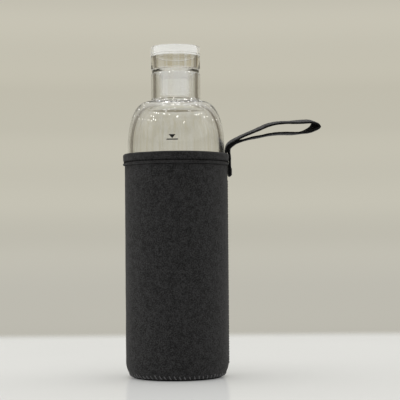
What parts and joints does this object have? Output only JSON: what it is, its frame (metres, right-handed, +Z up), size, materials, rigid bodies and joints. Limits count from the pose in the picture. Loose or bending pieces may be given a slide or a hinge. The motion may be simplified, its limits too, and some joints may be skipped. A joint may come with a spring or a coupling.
{
  "type": "glass water bottle in a neoprene sleeve",
  "caption": "Clear glass water bottle with a push-in stopper, standing in a charcoal neoprene sleeve that has a sewn hem and a carrying strap loop.",
  "frame": {"origin": "centre of the sleeve's flat base, on the bottle's axis", "axes": "+Z up along the bottle's axis, +X towards the strap, +Y towards the back"},
  "size_m": [0.1351, 0.0712, 0.2215],
  "materials": {
    "clear_glass": "clear, polished",
    "clear_plastic": "clear, polished",
    "frosted_plastic": "frosted, translucent",
    "silicone": "soft, translucent",
    "neoprene": "knit-faced neoprene, matt",
    "thread": "twisted polyester",
    "webbing": "folded fabric band, matt"
  },
  "bodies": {
    "sleeve": {"sleeve_body": "neoprene", "sleeve_base": "neoprene", "top_hem": "neoprene", "hem_stitching": "thread", "base_seam_stitching": "thread", "side_seam_stitching": "thread", "strap_outer_tail": "webbing", "strap_inner_tail": "webbing", "strap_tack_stitching": "thread"},
    "bottle": {"glass_bottle": "clear_glass"},
    "stopper_ring": {"neck_gasket": "silicone"},
    "stopper": {"cap_shell": "clear_plastic", "stopper_plug": "frosted_plastic", "plug_seal": "silicone"},
    "strap": {"strap_loop": "webbing"}
  },
  "joints": [
    {"name": "bottle_lift", "type": "slide", "parent": "sleeve", "child": "bottle", "axis": [0, 0, 1], "range_m": [0, 0.16]},
    {"name": "stopper_lift", "type": "slide", "parent": "bottle", "child": "stopper_ring", "axis": [0, 0, 1], "range_m": [0, 0.045]},
    {"name": "stopper_twist", "type": "hinge", "parent": "stopper_ring", "child": "stopper", "pos_m": [0, 0, 0.2058], "axis": [0, 0, 1], "continuous": true},
    {"name": "strap_swing", "type": "hinge", "parent": "sleeve", "child": "strap", "pos_m": [0.0376, 0, 0.1567], "axis": [0, 1, 0], "range_deg": [-65, 82], "stiffness_Nm_per_rad": 0.02}
  ]
}
